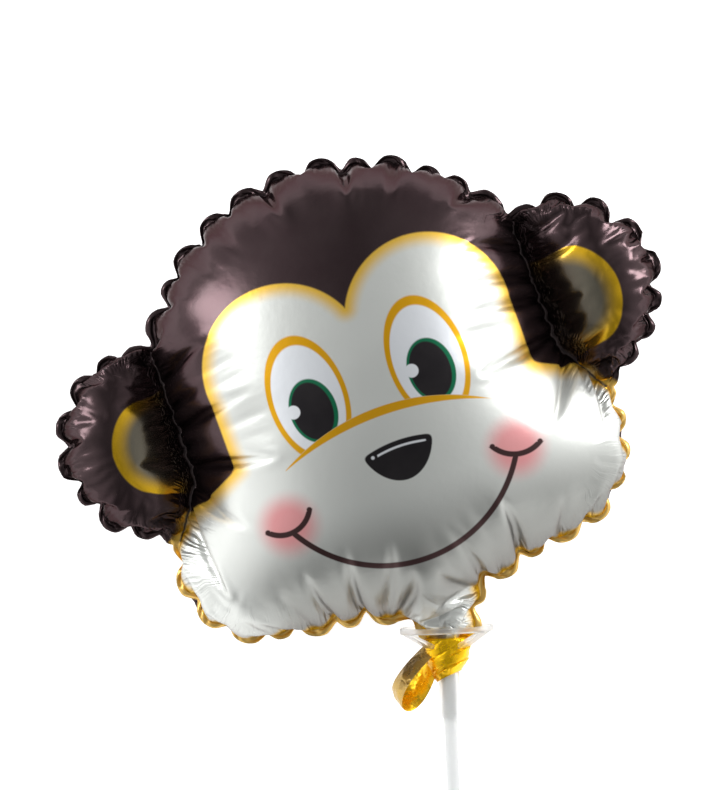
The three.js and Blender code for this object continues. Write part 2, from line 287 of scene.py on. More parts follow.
@dataclass
class Lobe:
    """One closed chamber of the envelope: its blown-up outline, its middle and its half thickness.

    slack says for each outline point how much of the film that a full pillow needs is there. power is
    the power of the pillow's profile, and clearance how near the edge a grid point may be, in steps.
    """

    outline: Array
    middle: Array
    half_thickness: float
    slack: Any = 1.0
    power: float = 2.8
    samples: int = 400
    clearance: float = 0.62
    edge_shares: int = 8
    largest_jump: float = 50

    def __post_init__(self) -> None:
        """Work out how far the outline is from the middle in each direction, and the film's run."""
        turn, reach = self.polar(self.outline)
        order = np.argsort(turn)
        self.turns = np.concatenate([turn[order] - 2 * np.pi, turn[order], turn[order] + 2 * np.pi])
        self.reaches = np.tile(reach[order], 3)
        self.share = 1 - (1 - np.linspace(0, 1, self.samples)) ** 2
        mean = self.film_run(reach.mean())
        self.run = mean / mean[-1]
        needed = np.array([self.film_run(one)[-1] / one for one in reach])
        self.growth = 1 + (needed - 1) * self.slack
        self.growths = np.tile(self.growth[order], 3)

    def polar(self, places: Array) -> tuple[Array, Array]:
        """The direction and the distance of places from the middle."""
        arm = places - self.middle
        return np.arctan2(arm[:, 1], arm[:, 0]), np.linalg.norm(arm, axis=1)

    def film_run(self, reach: float) -> Array:
        """The length of film from the middle out to each share of a reach."""
        height = self.half_thickness * np.sqrt(1 - self.share ** self.power)
        sizes = np.hypot(np.diff(self.share) * reach, np.diff(height))
        return np.concatenate([[0], np.cumsum(sizes)])

    def flat_reach(self, turn: Array) -> Array:
        """The distance from the middle to the flat pattern's outline in some directions."""
        return np.interp(turn, self.turns, self.reaches * self.growths)

    def flat_outline(self) -> Array:
        """The outline of the flat pattern."""
        return self.middle + (self.outline - self.middle) * self.growth[:, None]

    def blown(self, flat: Array) -> Array:
        """Places on the upper side of the blown-up pillow for places of the flat pattern."""
        turn, away = self.polar(flat)
        reach = np.interp(turn, self.turns, self.reaches)
        run = np.clip(away / self.flat_reach(turn), 0, 1)
        share = np.interp(run, self.run, self.share)
        plan = self.middle + (share * reach)[:, None] * np.stack([np.cos(turn), np.sin(turn)], 1)
        height = self.half_thickness * np.sqrt(np.clip(1 - share ** self.power, 0, 1))
        return np.column_stack([plan, height])

    def inner_points(self, step: float) -> Array:
        """A triangular grid of points inside the flat pattern, clear of its edge."""
        edge = self.flat_outline()
        low, high = edge.min(0), edge.max(0)
        rows = np.arange(low[1], high[1], step * math.sqrt(3) / 2)
        columns = np.arange(low[0], high[0], step)
        grid = np.array([(x + step / 2 * (k % 2), y) for k, y in enumerate(rows) for x in columns])
        turn, away = self.polar(grid)
        inside = away < self.flat_reach(turn) - step
        clear = np.linalg.norm(grid[:, None] - edge[None], axis=2).min(1) > step * self.clearance
        return grid[inside & clear]

    def nearest_edge(self, flat: Array, marks: Array) -> tuple[Array, Array]:
        """How far places of the flat pattern are from its edge, and the mark of the nearest edge point.

        Args:
            flat: Places on the flat pattern.
            marks: A number for each point of the outline.

        Returns:
            The distances, and the marks at the nearest places of the edge.
        """
        edge = self.flat_outline()
        shares = np.linspace(0, 1, self.edge_shares, endpoint=False)[:, None]
        after, marks_after = np.roll(edge, -1, 0), np.roll(marks, -1)
        dense = np.concatenate([a + (b - a) * shares for a, b in zip(edge, after)])
        jump = np.abs(marks_after - marks) > self.largest_jump
        marks_after = np.where(jump, marks, marks_after)
        values = np.concatenate([a + (b - a) * shares[:, 0] for a, b in zip(marks, marks_after)])
        away = np.linalg.norm(flat[:, None] - dense[None], axis=2)
        nearest = away.argmin(1)
        return away.min(1), values[nearest]


@dataclass
class Film:
    """The sheets of film as triangles. A corner keeps its place on the flat pattern of its lobe.

    sheet is 0 for the front, 1 for the back and 2 for the welded rim, where both are one.
    printed is where the print lies, inset how far a point is inside the weld, and along how far round
    the rim it is, in millimetres. held has a column each for the weld, the ear seams and the outer
    edge, 1 where a point lies on one. guided has for each held point its place without puckers, its
    outward direction, its distance from the next pucker, and how far that draws it in and up.
    """

    points: Array
    triangles: Array
    corners: Array
    sheet: Array
    printed: Array
    inset: Array
    along: Array
    ear: Array
    held: Array
    guided: Array
    notch_reach: float = 7.5
    notch_power: float = 1.15

    def guide(self) -> Array:
        """Where held points are drawn to: in at each pucker, and a little up or down."""
        base, outward = self.guided[:, :3], self.guided[:, 3:6]
        away, draw, lift = self.guided[:, 6:].T
        sharp = np.clip(1 - away / self.notch_reach, 0, 1) ** self.notch_power
        return base - outward * (draw * sharp)[:, None] + np.outer(lift * sharp, (0, 0, 1))

    def split(self) -> "Film":
        """The same film with each triangle cut into four."""
        count = len(self.points)
        a, b, c = self.triangles.T
        sides = [np.stack(pair, 1) for pair in ((a, b), (b, c), (c, a))]
        ends = np.sort(np.concatenate(sides), axis=1)
        keys = ends[:, 0] * count + ends[:, 1]
        _, first, back = np.unique(keys, return_index=True, return_inverse=True)
        one, two = ends[first].T
        ab, bc, ca = (back + count).reshape(3, -1)

        def quartered(points: tuple, middles: tuple) -> Array:
            """The four small triangles from the corners and the middles of the sides."""
            (p, q, r), (pq, qr, rp) = points, middles
            parts = ((p, pq, rp), (pq, q, qr), (rp, qr, r), (pq, qr, rp))
            return np.concatenate([np.stack(part, 1) for part in parts])

        def grown(values: Array) -> Array:
            """Values at the old points and, as means, at the new ones."""
            return np.concatenate([values, (values[one] + values[two]) / 2])

        p, q, r = (self.corners[:, k] for k in range(3))
        corners = quartered((p, q, r), ((p + q) / 2, (q + r) / 2, (r + p) / 2))
        names = ("points", "printed", "inset", "along", "ear", "held", "guided")
        return Film(triangles=quartered((a, b, c), (ab, bc, ca)), corners=corners,
                    sheet=np.tile(self.sheet, 4), **{name: grown(getattr(self, name)) for name in names})


@dataclass(frozen=True)
class Level:
    """How the film is blown up at one fineness, in some steps with some passes over the threads each.

    push is how far air moves a free point in one step, in millimetres. squeeze says how hard a thread
    resists being shortened and bend how hard a hinge resists folding, 0 to 1. pulls says how firmly
    the weld, the ear seams and the outer edge are drawn to their guided places. drag is the share of
    its speed that a point keeps, and stretch how much of a thread's excess is taken back.
    """

    steps: int
    push: float
    squeeze: float
    bend: float
    pulls: tuple[float, float, float]
    passes: int = 14
    drag: float = 0.93
    stretch: float = 1.9


@dataclass
class Inflation:
    """Blows a film up: it hardly stretches, buckles easily, and air pushes on both sheets."""

    film: Film
    level: Level

    def __post_init__(self) -> None:
        """List the film's threads and hinges with their lengths on the flat pattern."""
        film = self.film
        count = len(film.points)
        tri, corner = film.triangles, film.corners
        rows = []
        for i, j, k in ((0, 1, 2), (1, 2, 0), (2, 0, 1)):
            side = corner[:, j] - corner[:, i]
            size = np.linalg.norm(side, axis=1)
            arm = corner[:, k] - corner[:, i]
            along = (arm * side).sum(1) / size
            height = np.abs(side[:, 0] * arm[:, 1] - side[:, 1] * arm[:, 0]) / size
            turned = tri[:, i] > tri[:, j]
            along = np.where(turned, size - along, along)
            low = np.minimum(tri[:, i], tri[:, j])
            high = np.maximum(tri[:, i], tri[:, j])
            rows.append(np.column_stack([low, high, film.sheet, tri[:, k], size, along, height]))
        rows = np.concatenate(rows)
        keys = rows[:, 0] * count + rows[:, 1]
        _, first, back, times = np.unique(
            keys, return_index=True, return_inverse=True, return_counts=True)
        self.threads = rows[first][:, :2].astype(int)
        self.lengths = np.bincount(back, rows[:, 4]) / times
        order = np.lexsort((rows[:, 2], keys))
        rows = rows[order]
        keys = keys[order]
        same = (keys[1:] == keys[:-1]) & (rows[1:, 2] == rows[:-1, 2])
        one, two = rows[:-1][same], rows[1:][same]
        self.hinges = np.column_stack([one[:, 3], two[:, 3]]).astype(int)
        self.spans = np.hypot(one[:, 6] + two[:, 6], one[:, 5] - two[:, 5])
        self.weights = self.link_counts(self.threads)
        self.hinge_weights = self.link_counts(self.hinges)
        self.speed = np.zeros_like(film.points)

    def link_counts(self, links: Array) -> Array:
        """How many links meet at each point, at least one."""
        return np.maximum(np.bincount(links.ravel(), minlength=len(self.film.points)), 1)

    def spread(self, links: Array, pull: Array) -> Array:
        """The sum of the pulls of links on their two ends."""
        count = len(self.film.points)
        (first, second), pulls = links.T, pull.T
        return np.stack([np.bincount(first, p, count) - np.bincount(second, p, count) for p in pulls], 1)

    def pushes(self) -> Array:
        """The direction in which air pushes each point, of length 1 on a flat sheet."""
        film = self.film
        total, area = normal_sums(film.points, film.triangles[film.sheet < 2])
        return total / np.maximum(area, TINY)[:, None]

    def pull(self, links: Array, lengths: Array, weights: Array, stretch: float,
             squeeze: float) -> None:
        """Bring links back towards their lengths.

        Args:
            links: Pairs of points.
            lengths: The length of each link on the flat pattern.
            weights: How many links meet at each point.
            stretch: How much of a link's excess is taken back.
            squeeze: How much of a link's shortfall is given back.
        """
        points = self.film.points
        arm = points[links[:, 1]] - points[links[:, 0]]
        size = np.sqrt((arm * arm).sum(1)) + TINY
        excess = size - lengths
        share = np.where(excess > 0, stretch, squeeze) * 0.5 * excess / size
        points += self.spread(links, arm * share[:, None]) / weights[:, None]

    def run(self) -> None:
        """Let the film move for the steps of the level."""
        film, level = self.film, self.level
        guide = film.guide()
        hold = ((film.held > 0.99) * level.pulls).max(1)[:, None]
        for _ in range(level.steps):
            before = film.points.copy()
            self.speed = self.speed * level.drag + level.push * self.pushes()
            film.points += self.speed
            for _ in range(level.passes):
                self.pull(self.hinges, self.spans, self.hinge_weights, 0.0, level.bend)
                self.pull(self.threads, self.lengths, self.weights, level.stretch, level.squeeze)
            film.points += hold * (guide - film.points)
            self.speed = film.points - before

    def strain(self) -> float:
        """The mean stretch of the threads that are longer than on the flat pattern."""
        first, second = self.film.points[self.threads.T]
        over = np.linalg.norm(second - first, axis=1) / self.lengths - 1
        return float(over[over > 0].mean())


@dataclass
class Envelope:
    """The blown-up film of the head and the ears, built in millimetres of the head frame.

    growth is about how much longer the flat pattern's edge is than the blown-up one. seam_slack is
    the slack of the ears at their seams, and notch_steps the distances from one pucker to the next,
    in steps of the grid. A start is where inside the weld something sets in and where it is full.
    """

    outline: Outline = field(default_factory=Outline)
    head_half_thickness: float = 56
    ear_half_thickness: float = 20
    grid_step: float = 6.0
    rim_width: float = 3.8
    pucker_draw: float = 7.4
    pucker_lift: float = 2.4
    foot_taper: float = 0.3
    growth: float = 1.28
    seam_slack: float = 0.4
    seed_depth: float = 3.2
    crease_depth: float = 1.2
    crease_width: float = 6.5
    crease_lengths: tuple[float, float] = (14, 42)
    crease_powers: tuple[float, float] = (1.5, 0.7)
    crease_start: tuple[float, float] = (0, 5)
    seam_spread: int = 3
    draw_shares: tuple[float, float] = (0.7, 1.2)
    lift_shares: tuple[float, float] = (0.3, 1)
    notch_steps: tuple[int, ...] = (3, 4, 4)
    edge_draw: float = 1.05
    edge_lift: float = 1.6
    levels: tuple[Level, ...] = (
        Level(70, 0.02, 0.10, 0.02, (0.40, 1.0, 0.40)),
        Level(80, 0.006, 0.5, 0.03, (0.30, 1.0, 0.30)),
        Level(45, 0.002, 0.8, 0.05, (0.20, 1.0, 0.20)))
    split_noise: float = 0.15
    noise_start: tuple[float, float] = (1, 8)
    seed: int = 11

    def steps_along(self, stretch: Stretch) -> int:
        """How many steps of the grid a stretch is long on the flat pattern."""
        return max(1, round(stretch.length() * self.growth / self.grid_step))

    def rings(self) -> None:
        """Lay out the weld points: the head's ring, both ears' rings and the outer edge."""
        head = self.outline.head()
        counts = [self.steps_along(stretch) for stretch in head]
        starts = dict(zip(self.outline.names, np.concatenate([[0], np.cumsum(counts)])))
        points = np.concatenate([s.spaced(n)[:-1] for s, n in zip(head, counts)])
        size = len(points)
        rim, end = (stretch.spaced(self.steps_along(stretch)) for stretch in self.outline.left_ear())
        ear = np.concatenate([rim[1:], end[1:-1]])
        left = list(range(size, size + len(ear)))
        right = list(range(size + len(ear), size + 2 * len(ear)))
        self.welds = self.outline.shifted(np.concatenate([points, ear, (ear * (-1, 1))[::-1]]))
        top, cheek, cheek_right = starts["side"], starts["cheek"], starts["right flare"]
        foot, foot_end = starts["foot"], starts["right throat"]
        self.head_ring = list(range(size))
        self.left_ring = [top, *left, *range(cheek, top, -1)]
        self.right_ring = [cheek_right, *right, 0, *range(size - 1, cheek_right, -1)]
        self.edge = [*range(0, top + 1), *left, *range(cheek, cheek_right + 1), *right]
        self.ear_members = set(left) | set(right)
        self.right_members = set(right)
        self.foot = set(range(foot, foot_end + 1))
        self.seams = [*range(top, cheek + 1), *range(cheek_right, size), 0]
        sides = np.linalg.norm(np.roll(points, -1, 0) - points, axis=1) * self.growth
        round_head = np.roll(np.cumsum(np.roll(sides, -foot)), foot + 1)
        round_head[foot] = 0
        steps = np.arange(1, len(ear) + 1) * self.grid_step
        self.marks = np.concatenate([round_head, round_head[top] - steps, round_head[0] + steps[::-1]])

    def lobes(self) -> list[tuple[Lobe, list]]:
        """The head and both ears, each with its ring of weld points."""
        ear = np.array(self.outline.ear_middle)
        middles = self.outline.shifted(np.array([self.outline.head_middle, ear, ear * (-1, 1)]))
        halves = (self.head_half_thickness, self.ear_half_thickness, self.ear_half_thickness)
        rings = (self.head_ring, self.left_ring, self.right_ring)
        return [(Lobe(self.welds[ring], middle, half, self.slack(ring)), ring)
                for ring, middle, half in zip(rings, middles, halves)]

    def slack(self, ring: list) -> Array:
        """How much film a lobe has in each direction: the ears are drawn taut towards their seams."""
        taut = np.isin(ring, self.seams) * float(ring is not self.head_ring)
        shifts = range(-self.seam_spread, self.seam_spread + 1)
        spread = np.mean([np.roll(taut, shift) for shift in shifts], axis=0)
        return 1 - (1 - self.seam_slack) * spread

    def sheets(self, lobe: Lobe, ring: list, ear: float, first: int) -> dict:
        """The front and back triangles of one lobe.

        Args:
            lobe: The lobe.
            ring: The weld points round it.
            ear: 1 for an ear, 0 for the head.
            first: The index of its first new point.

        Returns:
            The new points and the triangles with their corners on the flat pattern.
        """
        edge = lobe.flat_outline()
        inner = lobe.inner_points(self.grid_step)
        flat = np.concatenate([edge, inner])
        count = len(edge)
        loop = [(i, (i + 1) % count) for i in range(count)]
        found = delaunay_2d_cdt([Vector(p) for p in flat], loop, [], 1, 1e-5)
        assert len(found[0]) == len(flat), "the triangulation added points"
        local = np.array(found[2])
        a, b, c = (flat[local[:, k]].T for k in range(3))
        area = (b[0] - a[0]) * (c[1] - a[1]) - (b[1] - a[1]) * (c[0] - a[0])
        local = np.where((area > 0)[:, None], local, local[:, ::-1])
        inset, along = lobe.nearest_edge(inner, self.marks[ring])
        front = np.array([*ring, *range(first, first + len(inner))])
        back = np.array([*ring, *range(first + len(inner), first + 2 * len(inner))])
        return {
            "points": np.concatenate([lobe.blown(inner), lobe.blown(inner) * (1, 1, -1)]),
            "inset": np.tile(inset, 2),
            "along": np.tile(along, 2),
            "ear": np.full(2 * len(inner), ear),
            "triangles": [front[local], back[local][:, ::-1]],
            "corners": [flat[local], flat[local][:, ::-1]],
        }

    def rim(self, first: int) -> tuple[Array, Array, Array]:
        """The flat welded rim outside the weld line.

        Args:
            first: The index of its first new point.

        Returns:
            The outer points, the triangles and their corners on the flat pattern.
        """
        edge = self.edge
        places = self.welds[edge]
        along = np.roll(places, -1, 0) - np.roll(places, 1, 0)
        outward = np.stack([along[:, 1], -along[:, 0]], 1)
        outward /= np.linalg.norm(outward, axis=1)[:, None]
        self.outward = outward
        taper = np.array([self.foot_taper if i in self.foot else 1.0 for i in edge])[:, None]
        outward = outward * taper
        outer = places + outward * self.rim_width
        flats = {}
        for number, (lobe, ring) in enumerate(self.lobes()):
            for index, place in zip(ring, lobe.flat_outline()):
                flats[number, index] = place
        triangles, corners = [], []
        for i, here in enumerate(edge):
            j = (i + 1) % len(edge)
            there = edge[j]
            if here in self.foot and there in self.foot:
                continue
            ears = {here, there} & self.ear_members
            lobe = 0 if not ears else 2 if ears & self.right_members else 1
            a, b = flats[lobe, here], flats[lobe, there]
            c, d = b + outward[j] * self.rim_width, a + outward[i] * self.rim_width
            triangles += [(here, first + i, first + j), (here, first + j, there)]
            corners += [(a, d, c), (a, c, b)]
        return outer, np.array(triangles), np.array(corners)

    def flat_film(self) -> Film:
        """The coarse film, in the shape of smooth pillows, with its flat pattern."""
        self.rings()
        count = len(self.welds)
        ear = np.zeros(count)
        ear[list(self.ear_members)] = 1
        columns = {
            "points": [np.column_stack([self.welds, np.zeros(count)])],
            "inset": [np.zeros(count)],
            "along": [self.marks],
            "ear": [ear],
        }
        sheet, triangles, corners = [], [], []
        for number, (lobe, ring) in enumerate(self.lobes()):
            made = self.sheets(lobe, ring, float(number > 0), sum(map(len, columns["points"])))
            for name, parts in columns.items():
                parts.append(made[name])
            triangles += made["triangles"]
            corners += made["corners"]
            sheet += [np.zeros(len(made["triangles"][0])), np.ones(len(made["triangles"][1]))]
        first = sum(map(len, columns["points"]))
        outer, rim, rim_corners = self.rim(first)
        columns["points"].append(np.column_stack([outer, np.zeros(len(outer))]))
        columns["inset"].append(np.full(len(outer), -self.rim_width))
        columns["along"].append(self.marks[self.edge])
        columns["ear"].append(ear[self.edge])
        triangles.append(rim)
        corners.append(rim_corners)
        sheet.append(np.full(len(rim), 2))
        joined = {name: np.concatenate(parts) for name, parts in columns.items()}
        held, guided = self.held(joined["points"], count, first)
        return Film(triangles=np.concatenate(triangles), corners=np.concatenate(corners),
                    sheet=np.concatenate(sheet), printed=joined["points"][:, :2].copy(), held=held,
                    guided=guided, **joined)

    def held(self, points: Array, count: int, first: int) -> tuple[Array, Array]:
        """Which points are held, and where: the weld line drawn in at each pucker.

        Args:
            points: The coarse film's points.
            count: How many weld points come first.
            first: The index of the first point of the outer edge.

        Returns:
            The held and guided columns of the film.
        """
        rng = np.random.default_rng(self.seed)
        edge, size = self.edge, len(self.edge)
        held = np.zeros((len(points), 3))
        held[:count, 0] = 1
        held[self.seams, 1] = 1
        held[first:, 2] = 1
        guided = np.zeros((len(points), 9))
        guided[:, :3] = points
        notches, at = [], 0
        while at < size - 2:
            draw = self.pucker_draw * rng.uniform(*self.draw_shares)
            lift = self.pucker_lift * rng.choice((-1, 1)) * rng.uniform(*self.lift_shares)
            notches.append((at, draw, lift))
            at += int(rng.choice(self.notch_steps))
        self.notch_marks = self.marks[[edge[notch[0]] for notch in notches]]
        self.notch_lengths = rng.uniform(*self.crease_lengths, len(notches))
        for i, index in enumerate(edge):
            away, _, draw, lift = min(
                (min(abs(i - at), size - abs(i - at)), place, draw, lift)
                for place, (at, draw, lift) in enumerate(notches))
            if index in self.foot:
                draw, lift = 0.0, 0.0
            start = [*self.outward[i], 0, away * self.grid_step]
            guided[index, 3:] = [*start, draw, lift]
            guided[first + i, 3:] = [*start, self.edge_draw * draw, self.edge_lift * lift]
        return held, guided

    def creases(self, film: Film) -> Array:
        """How far each point is into one of the creases that run in from the puckers, 0 to 1."""
        away = np.abs(film.along[:, None] - self.notch_marks)
        across = np.clip(1 - away / self.crease_width, 0, 1)
        inward = np.clip(1 - film.inset[:, None] / self.notch_lengths, 0, 1)
        width_power, length_power = self.crease_powers
        depth = (across ** width_power * inward ** length_power).max(1)
        return depth * smoothstep(film.inset, *self.crease_start)

    def blown_up(self) -> Film:
        """The film, blown up from coarse to fine."""
        film = self.flat_film()
        film.points = np.where(film.held.max(1)[:, None] > 0, film.guide(), film.points)
        log.info("coarse film: %d points, %d triangles", len(film.points), len(film.triangles))
        for number, level in enumerate(self.levels):
            if number:
                film = film.split()
                rng = np.random.default_rng(self.seed + number)
                noise = rng.normal(0, self.split_noise, film.points.shape)
                film.points += noise * smoothstep(film.inset, *self.noise_start)[:, None]
            solver = Inflation(film, level)
            if number == 1:
                film.points -= solver.pushes() * self.seed_depth * self.creases(film)[:, None]
            solver.run()
            low, high = film.points.min(0), film.points.max(0)
            log.info("level %d: %d triangles, strain %.4f, from %s to %s", number,
                     len(film.triangles), solver.strain(), low.round(1), high.round(1))
        film.points -= solver.pushes() * self.crease_depth * self.creases(film)[:, None]
        return film


class Socket:
    """A node's output as a number, a colour or a vector, with the operators that shaders need."""

    def __init__(self, tree: bpy.types.NodeTree, link: Any) -> None:
        """Keep the tree and the output."""
        self.tree = tree
        self.link = link

    def node(self, kind: str, settings: dict | None = None, sockets: dict | None = None,
             out: Any = 0) -> "Socket":
        """Add a node.

        Args:
            kind: The node's type.
            settings: Its own settings, set first.
            sockets: Values or outputs for its inputs.
            out: Which output is wanted.

        Returns:
            The wanted output.
        """
        made = self.tree.nodes.new(kind)
        for name, value in (settings or {}).items():
            setattr(made, name, value)
        for name, value in (sockets or {}).items():
            if isinstance(value, Socket):
                self.tree.links.new(value.link, made.inputs[name])
            else:
                made.inputs[name].default_value = value
        return Socket(self.tree, made.outputs[out])

    def math(self, operation: str, *values: Any, clamp: bool = False) -> "Socket":
        """A Math node on this number and others."""
        sockets = dict(enumerate((self, *values)))
        return self.node("ShaderNodeMath", {"operation": operation, "use_clamp": clamp}, sockets)

    def __add__(self, other: Any) -> "Socket":
        """This plus another number."""
        return self.math("ADD", other)

    def __sub__(self, other: Any) -> "Socket":
        """This minus another number."""
        return self.math("SUBTRACT", other)

    def __mul__(self, other: Any) -> "Socket":
        """This times another number."""
        return self.math("MULTIPLY", other)

    def __truediv__(self, other: Any) -> "Socket":
        """This over another number."""
        return self.math("DIVIDE", other)

    def __neg__(self) -> "Socket":
        """This with its sign turned."""
        return self * -1

    def __rsub__(self, other: float) -> "Socket":
        """A plain number minus this."""
        return self * -1 + other

    __radd__ = __add__
    __rmul__ = __mul__

    def least(self, other: Any) -> "Socket":
        """The smaller of two numbers."""
        return self.math("MINIMUM", other)

    def most(self, other: Any) -> "Socket":
        """The larger of two numbers."""
        return self.math("MAXIMUM", other)

    def soft_least(self, other: Any, width: float) -> "Socket":
        """The smaller of two numbers, rounded where they meet."""
        return self.math("SMOOTH_MIN", other, width)

    def soft_most(self, other: Any, width: float) -> "Socket":
        """The larger of two numbers, rounded where they meet."""
        return self.math("SMOOTH_MAX", other, width)

    def size(self) -> "Socket":
        """The number without its sign."""
        return self.math("ABSOLUTE")

    def step(self, low: float, high: float) -> "Socket":
        """Rise smoothly from 0 at low to 1 at high; low may be the larger."""
        turned = float(low > high)
        return self.node("ShaderNodeMapRange", {"interpolation_type": "SMOOTHSTEP"}, {
            "Value": self, "From Min": min(low, high), "From Max": max(low, high),
            "To Min": turned, "To Max": 1 - turned})

    def inside(self, blur: float = 0.35) -> "Socket":
        """1 where this distance is below 0, and 0 outside."""
        return self.step(blur, -blur)

    def near(self, half_width: float) -> "Socket":
        """1 where this distance is 0, to a half width either side."""
        return (self.size() - half_width).inside()

    def colour(self, low: Any, high: Any) -> "Socket":
        """The colour low where this is 0 and high where it is 1."""
        low, high = (end if isinstance(end, Socket) else (*end, 1) for end in (low, high))
        return self.node("ShaderNodeMix", {"data_type": "RGBA"}, {0: self, 6: low, 7: high}, 2)


class Finish:
    """A material with one Principled shader."""

    def __init__(self, name: str, **constants: Any) -> None:
        """Make the material and set what is the same all over."""
        self.material = bpy.data.materials.new(name)
        self.material.use_nodes = True
        self.tree = self.material.node_tree
        self.shader = self.tree.nodes["Principled BSDF"]
        for key, value in constants.items():
            self.shader.inputs[key.replace("_", " ")].default_value = value
        self.start = Socket(self.tree, None)

    def attribute(self, name: str) -> Socket:
        """A number that is stored on the mesh."""
        return self.start.node("ShaderNodeAttribute", {"attribute_name": name}, out="Fac")

    def object_place(self) -> Socket:
        """The place on the piece, in metres."""
        return self.start.node("ShaderNodeTexCoord", out="Object")

    def feed(self, name: str, value: Socket) -> None:
        """Feed one of the shader's inputs."""
        self.tree.links.new(value.link, self.shader.inputs[name])

    def bump(self, height: Socket, strength: float, distance: float = MM) -> None:
        """Feed the normal from a height that is counted in distances."""
        sockets = {"Height": height, "Strength": strength, "Distance": distance}
        self.feed("Normal", self.start.node("ShaderNodeBump", {}, sockets, "Normal"))

    def noise(self, place: Socket, scale: float, detail: float = 2) -> Socket:
        """Even noise, 0 to 1."""
        sockets = {"Vector": place, "Scale": scale, "Detail": detail, "Roughness": 0.5}
        return self.start.node("ShaderNodeTexNoise", {}, sockets, "Fac")

    def vector(self, *parts: Any) -> Socket:
        """A place from three numbers."""
        return self.start.node("ShaderNodeCombineXYZ", {}, dict(enumerate(parts)))


@dataclass
class Drawing:
    """The plane of the print with what is drawn on it so far. Millimetres of the head frame."""

    u: Socket
    v: Socket
    colour: Any

    def ring(self, centre: tuple, radius: float) -> Socket:
        """How far outside a circle a place is."""
        x, y = self.u - centre[0], self.v - centre[1]
        return (x * x + y * y).math("SQRT") - radius

    def spot(self, centre: tuple, half: tuple) -> Socket:
        """How far outside an ellipse a place is, in about millimetres."""
        x, y = (self.u - centre[0]) / half[0], (self.v - centre[1]) / half[1]
        return ((x * x + y * y).math("SQRT") - 1) * min(half)

    def paint(self, share: Socket, colour: Any) -> None:
        """Lay a colour over the drawing where share is 1."""
        self.colour = share.colour(self.colour, colour)


